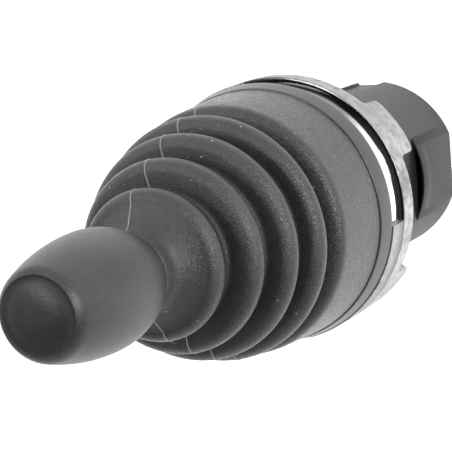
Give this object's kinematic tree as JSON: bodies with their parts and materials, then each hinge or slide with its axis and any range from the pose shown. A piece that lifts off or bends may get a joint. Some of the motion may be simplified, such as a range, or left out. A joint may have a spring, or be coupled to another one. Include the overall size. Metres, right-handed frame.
{
  "type": "industrial joystick",
  "caption": "Panel joystick head with a short knob on a ribbed rubber boot, a metal front ring with lugs, and a round keyed barrel that goes through the panel.",
  "frame": {"origin": "on the stick's axis, in the plane where the lugs of the front ring stand on the panel's front face", "axes": "+Z along the stick towards the knob; +Y towards the keyway on top of the barrel; +X towards the locking notch in its side"},
  "size_m": [0.0308, 0.0308, 0.0884],
  "materials": {
    "knob_plastic": "fine matt moulded plastic",
    "brass": "turned and knurled",
    "steel": "ground",
    "boot_rubber": "matt moulded rubber",
    "band_plastic": "satin",
    "polished_chrome": "polished chrome plate",
    "cast_metal": "matt die-cast zinc",
    "spring_steel": "blued spring steel",
    "gasket_rubber": "matt",
    "barrel_plastic": "fine matt moulded plastic",
    "inner_plastic": "moulded",
    "screw_steel": "zinc plated",
    "acetal": "smooth acetal",
    "spring_wire": "spring wire"
  },
  "bodies": {
    "head": {"bellows": "boot_rubber", "clamp_ring": "band_plastic", "chrome_sleeve": "polished_chrome", "lug_ring": "cast_metal", "snap_ring": "spring_steel", "panel_gasket": "gasket_rubber", "barrel_housing": "barrel_plastic", "pivot_housing": "inner_plastic", "gate_plate": "steel", "gate_screws": "screw_steel", "gimbal_pins": "steel", "guide_plate": "acetal", "spring_east": "spring_wire", "spring_north": "spring_wire", "spring_west": "spring_wire", "spring_south": "spring_wire", "base_plate": "inner_plastic", "base_screws": "screw_steel"},
    "gimbal": {"gimbal_ring": "brass"},
    "stick": {"knob": "knob_plastic", "knob_insert": "brass", "stick_shaft": "steel", "neck_ferrule": "steel", "pivot_hub": "steel", "cross_pin": "steel", "cam_plate": "acetal", "cam_clip": "spring_steel"},
    "push_east": {"plunger_east": "acetal"},
    "push_north": {"plunger_north": "acetal"},
    "push_west": {"plunger_west": "acetal"},
    "push_south": {"plunger_south": "acetal"}
  },
  "joints": [
    {"name": "tilt_x", "type": "hinge", "parent": "head", "child": "gimbal", "pos_m": [0, 0, 0.019], "axis": [1, 0, 0], "range_deg": [-12, 12], "stiffness_Nm_per_rad": 0.5},
    {"name": "tilt_y", "type": "hinge", "parent": "gimbal", "child": "stick", "pos_m": [0, 0, 0.019], "axis": [0, 1, 0], "range_deg": [-12, 12], "stiffness_Nm_per_rad": 0.5, "deforming": ["bellows"]},
    {"name": "push_east", "type": "slide", "parent": "head", "child": "push_east", "axis": [0, 0, 1], "range_m": [-0.001, 0.001], "deforming": ["spring_east"]},
    {"name": "push_north", "type": "slide", "parent": "head", "child": "push_north", "axis": [0, 0, 1], "range_m": [-0.001, 0.001], "deforming": ["spring_north"]},
    {"name": "push_west", "type": "slide", "parent": "head", "child": "push_west", "axis": [0, 0, 1], "range_m": [-0.001, 0.001], "deforming": ["spring_west"]},
    {"name": "push_south", "type": "slide", "parent": "head", "child": "push_south", "axis": [0, 0, 1], "range_m": [-0.001, 0.001], "deforming": ["spring_south"]}
  ],
  "couplings": [
    {"joint": "push_east", "follows": "tilt_y", "m_per_rad": -0.0047},
    {"joint": "push_north", "follows": "tilt_x", "m_per_rad": 0.0047},
    {"joint": "push_west", "follows": "tilt_y", "m_per_rad": 0.0047},
    {"joint": "push_south", "follows": "tilt_x", "m_per_rad": -0.0047}
  ]
}
